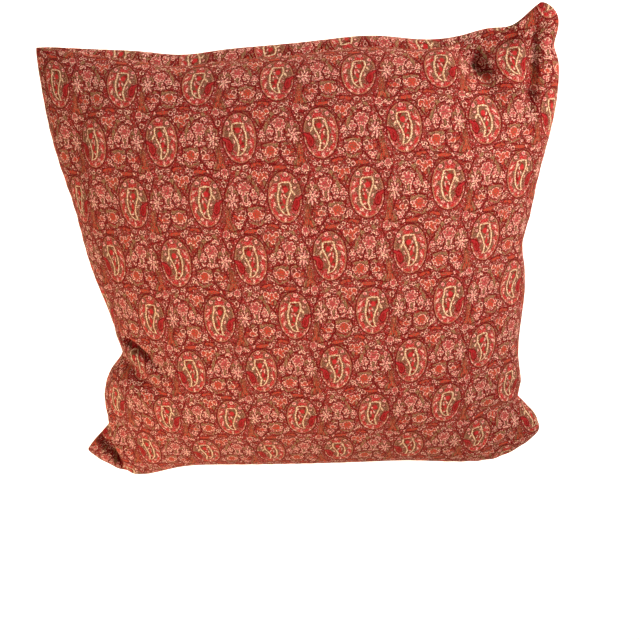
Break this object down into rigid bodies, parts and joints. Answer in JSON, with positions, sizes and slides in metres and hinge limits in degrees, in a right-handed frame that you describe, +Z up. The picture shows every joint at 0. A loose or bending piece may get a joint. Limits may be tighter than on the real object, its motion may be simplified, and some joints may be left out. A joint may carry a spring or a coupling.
{
  "type": "filled cushion cover",
  "caption": "Square filled cushion in a woven paisley cover, with a crowned front, drawn-in sides and soft ears, lying on its back.",
  "frame": {"origin": "on the surface it rests on, below the middle of its bounding box", "axes": "+Z up, out of the crowned front; +Y towards the upper side of the pattern; +X to the right as the pattern is read"},
  "size_m": [0.459, 0.4542, 0.1345],
  "materials": {
    "woven_cloth": "matt jacquard weave, deep red ground with small red, pink, olive and cream paisley figures"
  },
  "bodies": {
    "root": {"cushion_cover": "woven_cloth"}
  },
  "joints": []
}
